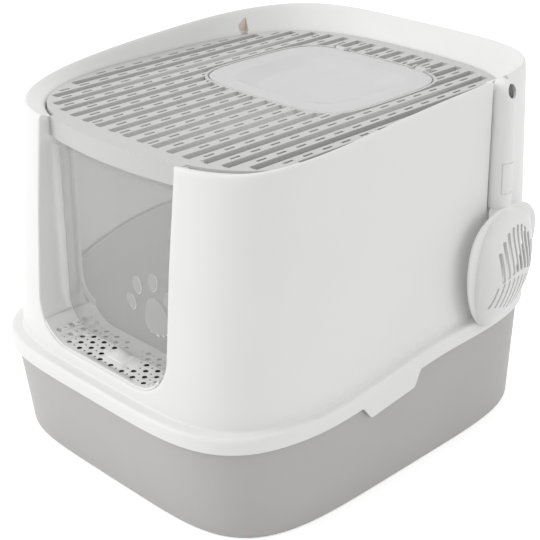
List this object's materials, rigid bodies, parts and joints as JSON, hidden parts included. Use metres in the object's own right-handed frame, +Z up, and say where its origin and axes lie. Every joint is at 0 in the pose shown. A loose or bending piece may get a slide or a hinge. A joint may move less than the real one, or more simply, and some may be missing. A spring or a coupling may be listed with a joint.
{
  "type": "top entry litter box",
  "caption": "Covered litter box with a grated lid, dished top flap, clear front flap, perforated step and a scoop hung in a side pocket.",
  "frame": {"origin": "middle of the tray's underside, on the floor", "axes": "+Z up, -Y towards the front opening, +X towards the side the scoop hangs on"},
  "size_m": [0.4427, 0.509, 0.391],
  "materials": {
    "tray_grey": "satin",
    "hood_white": "satin",
    "lid_pale": "satin",
    "flap_milky": "gloss",
    "flap_smoky": "gloss"
  },
  "bodies": {
    "tray_body": {"tray": "tray_grey"},
    "hood_body": {"hood": "hood_white", "entry_step": "hood_white"},
    "lid_body": {"lid": "lid_pale"},
    "top_flap_body": {"top_flap": "flap_milky"},
    "front_flap_body": {"front_flap": "flap_smoky"},
    "scoop_body": {"scoop": "hood_white"}
  },
  "joints": [
    {"name": "hood_lift", "type": "slide", "parent": "tray_body", "child": "hood_body", "axis": [0, 0, 1], "range_m": [0, 0.12]},
    {"name": "lid_hinge", "type": "hinge", "parent": "hood_body", "child": "lid_body", "pos_m": [0, 0.127, 0.3599], "axis": [-1, 0, 0], "range_deg": [0, 70]},
    {"name": "top_flap_hinge", "type": "hinge", "parent": "lid_body", "child": "top_flap_body", "pos_m": [0, 0.163, 0.363], "axis": [-1, 0, 0], "range_deg": [0, 70]},
    {"name": "front_flap_hinge", "type": "hinge", "parent": "hood_body", "child": "front_flap_body", "pos_m": [0, -0.21, 0.337], "axis": [1, 0, 0], "range_deg": [-65, 65]},
    {"name": "scoop_lift", "type": "slide", "parent": "hood_body", "child": "scoop_body", "axis": [1, 0, 0], "range_m": [0, 0.06]}
  ]
}
